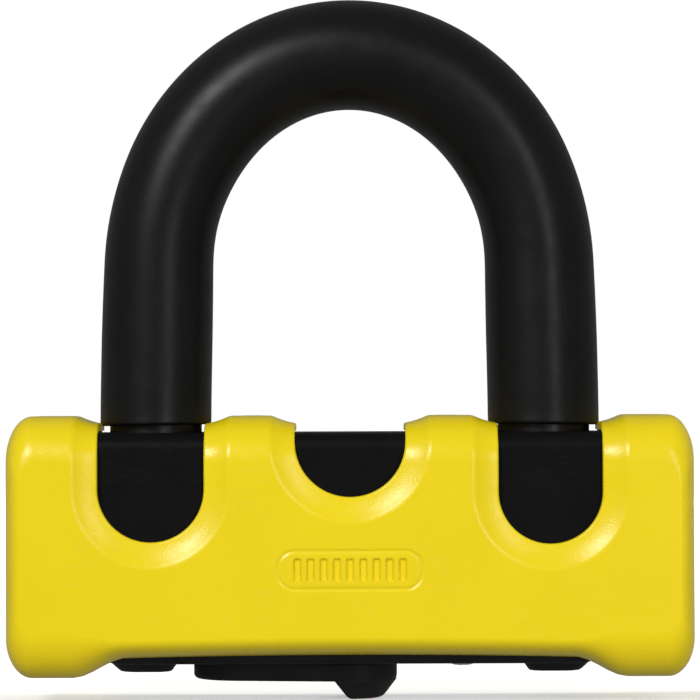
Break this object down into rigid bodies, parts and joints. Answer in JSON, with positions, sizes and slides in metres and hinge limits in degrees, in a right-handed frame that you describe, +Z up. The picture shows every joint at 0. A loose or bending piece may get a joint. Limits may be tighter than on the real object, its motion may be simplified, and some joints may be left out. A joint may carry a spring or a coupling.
{
  "type": "u lock",
  "caption": "Compact lock with a coated steel U-shaped shackle, a plastic-clad body with scalloped covers, a disc cylinder and a swinging keyhole cover.",
  "frame": {"origin": "under the middle of the lock, level with the tip of the keyhole cover's knob", "axes": "+Z up the shackle from the body, +X across the two legs towards the screw side, +Y from the front face to the rear face"},
  "size_m": [0.105, 0.036, 0.108],
  "materials": {
    "cover_plastic": "semi-gloss moulded yellow",
    "black_plastic": "fine-textured black",
    "sleeve": "satin black coating",
    "seal_rubber": "matt black",
    "black_steel": "satin black coated hardened steel",
    "hardened_steel": "ground hardened steel",
    "bright_steel": "zinc-plated steel",
    "brass": "machined"
  },
  "bodies": {
    "lock_body": {"lock_case": "black_steel", "end_plug_left": "hardened_steel", "end_plug_right": "hardened_steel", "leg_seal_left": "seal_rubber", "leg_seal_right": "seal_rubber", "jacket": "black_plastic", "cover_front": "cover_plastic", "cover_rear": "cover_plastic", "base_plate": "black_plastic", "base_screw": "bright_steel", "pivot_screw": "bright_steel", "friction_washer": "bright_steel", "cylinder_housing": "brass", "retaining_ring": "bright_steel", "cylinder_pin": "bright_steel"},
    "shackle": {"shackle_bar": "black_steel", "shackle_sleeve": "sleeve"},
    "cylinder_rotor": {"rotor": "brass", "drill_guard": "hardened_steel", "detainer_disc_1": "brass", "detainer_disc_2": "brass", "detainer_disc_3": "brass", "detainer_disc_4": "brass", "detainer_disc_5": "brass", "detainer_disc_6": "brass", "rotor_end_plate": "hardened_steel", "sidebar": "bright_steel", "cam_plate": "hardened_steel"},
    "left_bolt": {"bolt_left": "hardened_steel", "follower_pin_left": "bright_steel"},
    "right_bolt": {"bolt_right": "hardened_steel", "follower_pin_right": "bright_steel"},
    "keyhole_shutter": {"keyhole_cover": "black_plastic"}
  },
  "joints": [
    {"name": "shackle_lift", "type": "slide", "parent": "lock_body", "child": "shackle", "axis": [0, 0, 1], "range_m": [0, 0.04]},
    {"name": "rotor_turn", "type": "hinge", "parent": "lock_body", "child": "cylinder_rotor", "pos_m": [0, 0, 0.0107], "axis": [0, 0, 1], "range_deg": [0, 90]},
    {"name": "left_bolt_slide", "type": "slide", "parent": "lock_body", "child": "left_bolt", "axis": [-1, 0, 0], "range_m": [0, 0.004]},
    {"name": "right_bolt_slide", "type": "slide", "parent": "lock_body", "child": "right_bolt", "axis": [1, 0, 0], "range_m": [0, 0.004]},
    {"name": "keyhole_cover_swing", "type": "hinge", "parent": "lock_body", "child": "keyhole_shutter", "pos_m": [-0.0173, 0, 0.00305], "axis": [0, 0, 1], "range_deg": [-90, 90]}
  ],
  "couplings": [
    {"joint": "left_bolt_slide", "follows": "rotor_turn", "m_per_rad": 0.002546},
    {"joint": "right_bolt_slide", "follows": "rotor_turn", "m_per_rad": 0.002546}
  ]
}
